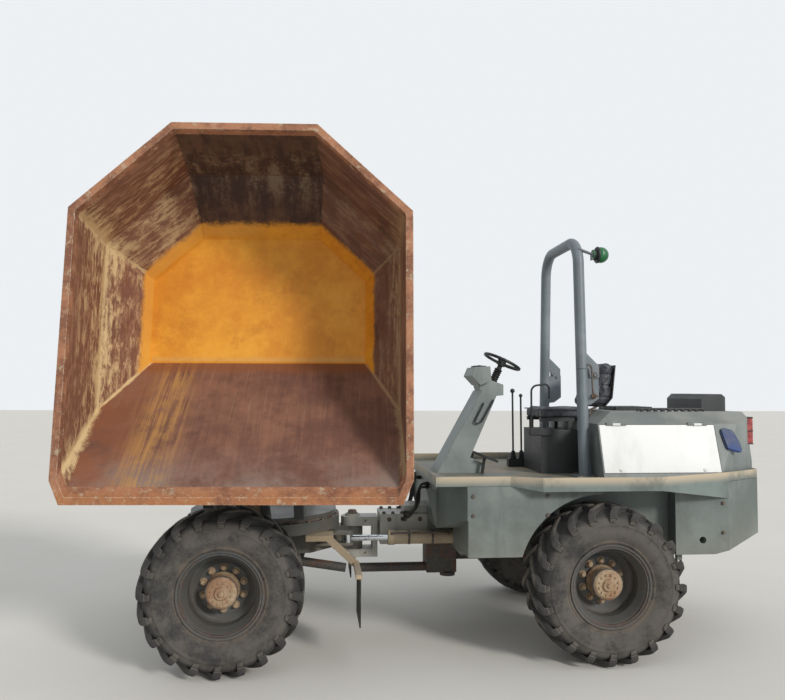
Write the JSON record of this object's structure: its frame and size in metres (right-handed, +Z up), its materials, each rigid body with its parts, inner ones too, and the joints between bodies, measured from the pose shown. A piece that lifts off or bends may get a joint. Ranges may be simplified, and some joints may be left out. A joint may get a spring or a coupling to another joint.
{
  "type": "site dumper",
  "caption": "Articulated site dumper with a swivelling, tipping skip ahead of an open driver's station, folding roll hoop and engine cover behind.",
  "frame": {"origin": "centre of the machine's bounding box on the ground", "axes": "+X forward, +Y to the machine's left, +Z up"},
  "size_m": [5.0698, 2.6476, 3.5794],
  "materials": {
    "tyre": "worn matt",
    "wheel_paint": "dusty",
    "hub": "rusty",
    "skip_steel": "rusty and scratched",
    "frame_paint": "worn satin",
    "deck_paint": "dusty",
    "door_white": "satin",
    "cast": "dusty",
    "ram_paint": "dusty",
    "chrome_rod": "polished",
    "seat_cover": "matt",
    "black_plastic": "matt",
    "flap_rubber": "matt",
    "beacon_green": "gloss",
    "lamp_red": "gloss"
  },
  "bodies": {
    "rear_body": {"deck": "deck_paint", "rear_chassis": "frame_paint", "pivot_head": "cast", "rear_axle": "cast", "engine": "cast", "transfer_box": "cast", "rear_shaft": "cast", "pivot_shaft": "cast", "seat_base": "frame_paint", "seat_rails": "frame_paint", "seat_cushion": "seat_cover", "seat_back": "seat_cover", "console": "frame_paint", "dash": "frame_paint", "steering_wheel": "black_plastic", "levers": "black_plastic", "pedals": "black_plastic", "hoop_feet": "frame_paint", "engine_cover": "frame_paint", "tail_lamp_left": "lamp_red", "tail_lamp_right": "lamp_red", "hood_vent": "black_plastic", "air_intake": "black_plastic", "tow_hitch": "frame_paint"},
    "front_frame": {"front_chassis": "frame_paint", "front_axle": "cast", "front_shaft": "cast", "slew_ring": "cast", "flap_arm_left": "frame_paint", "flap_arm_right": "frame_paint", "mud_flap_left": "flap_rubber", "mud_flap_right": "flap_rubber"},
    "swivel": {"swivel_frame": "frame_paint"},
    "skip": {"skip": "skip_steel", "skip_ears": "skip_steel", "ram_bracket": "skip_steel", "skip_ribs": "skip_steel"},
    "tip_barrel": {"tip_barrel": "ram_paint"},
    "tip_rod": {"tip_rod": "chrome_rod"},
    "steer_barrel": {"steer_barrel": "ram_paint"},
    "steer_rod": {"steer_rod": "chrome_rod"},
    "hoop": {"roll_hoop": "frame_paint", "beacon_bracket": "frame_paint", "beacon": "beacon_green"},
    "door_left": {"door_left": "door_white"},
    "door_right": {"door_right": "door_white"},
    "wheel_front_left": {"tyre_front_left": "tyre", "rim_front_left": "wheel_paint", "hub_front_left": "hub"},
    "wheel_front_right": {"tyre_front_right": "tyre", "rim_front_right": "wheel_paint", "hub_front_right": "hub"},
    "wheel_rear_left": {"tyre_rear_left": "tyre", "rim_rear_left": "wheel_paint", "hub_rear_left": "hub"},
    "wheel_rear_right": {"tyre_rear_right": "tyre", "rim_rear_right": "wheel_paint", "hub_rear_right": "hub"}
  },
  "joints": [
    {"name": "roll_front_left", "type": "hinge", "parent": "front_frame", "child": "wheel_front_left", "pos_m": [1.54915, 0.7262, 0.5371], "axis": [0, 1, 0], "continuous": true},
    {"name": "roll_front_right", "type": "hinge", "parent": "front_frame", "child": "wheel_front_right", "pos_m": [1.54915, -1.1238, 0.5371], "axis": [0, 1, 0], "continuous": true},
    {"name": "roll_rear_left", "type": "hinge", "parent": "rear_body", "child": "wheel_rear_left", "pos_m": [-1.03885, 0.7262, 0.5371], "axis": [0, 1, 0], "continuous": true},
    {"name": "roll_rear_right", "type": "hinge", "parent": "rear_body", "child": "wheel_rear_right", "pos_m": [-1.03885, -1.1238, 0.5371], "axis": [0, 1, 0], "continuous": true},
    {"name": "steer", "type": "hinge", "parent": "rear_body", "child": "front_frame", "pos_m": [0.65515, -0.1988, 0.6996], "axis": [0, 0, 1], "range_deg": [-32, 32]},
    {"name": "swivel", "type": "hinge", "parent": "front_frame", "child": "swivel", "pos_m": [1.34515, -0.1988, 0.8996], "axis": [0, 0, 1], "range_deg": [-176, 4]},
    {"name": "tip", "type": "hinge", "parent": "swivel", "child": "skip", "pos_m": [1.4056, 0.66569, 1.4943], "axis": [-0.9976, 0.0698, 0], "range_deg": [-76, 0]},
    {"name": "steer_barrel_turn", "type": "hinge", "parent": "rear_body", "child": "steer_barrel", "pos_m": [-0.16485, 0.0662, 0.7296], "axis": [0, 0, 1], "range_deg": [-1.43, 1.43]},
    {"name": "steer_rod_slide", "type": "slide", "parent": "steer_barrel", "child": "steer_rod", "axis": [0.9999, -0.0172, 0], "range_m": [-0.13665, 0.13665]},
    {"name": "tip_barrel_turn", "type": "hinge", "parent": "swivel", "child": "tip_barrel", "pos_m": [1.38756, 0.40772, 1.0026], "axis": [-0.9976, 0.0698, 0], "range_deg": [-69.78, 0.03]},
    {"name": "tip_rod_slide", "type": "slide", "parent": "tip_barrel", "child": "tip_rod", "axis": [-0.0181, -0.2587, 0.9658], "range_m": [-0.66973, 0.0005]},
    {"name": "hoop_fold", "type": "hinge", "parent": "rear_body", "child": "hoop", "pos_m": [-1.16485, -0.1988, 1.9736], "axis": [0, -1, 0], "range_deg": [0, 90]},
    {"name": "door_left_swing", "type": "hinge", "parent": "rear_body", "child": "door_left", "pos_m": [-1.58485, 0.4302, 1.6056], "axis": [1, 0, 0], "range_deg": [0, 100]},
    {"name": "door_right_swing", "type": "hinge", "parent": "rear_body", "child": "door_right", "pos_m": [-1.58485, -0.8278, 1.6056], "axis": [-1, 0, 0], "range_deg": [0, 100]}
  ],
  "couplings": [
    {"joint": "steer_barrel_turn", "follows": "steer", "ratio": 0.043883},
    {"joint": "steer_rod_slide", "follows": "steer", "m_per_rad": -0.24378},
    {"joint": "tip_barrel_turn", "follows": "tip", "ratio": 0.91779},
    {"joint": "tip_rod_slide", "follows": "tip", "m_per_rad": 0.50453}
  ]
}
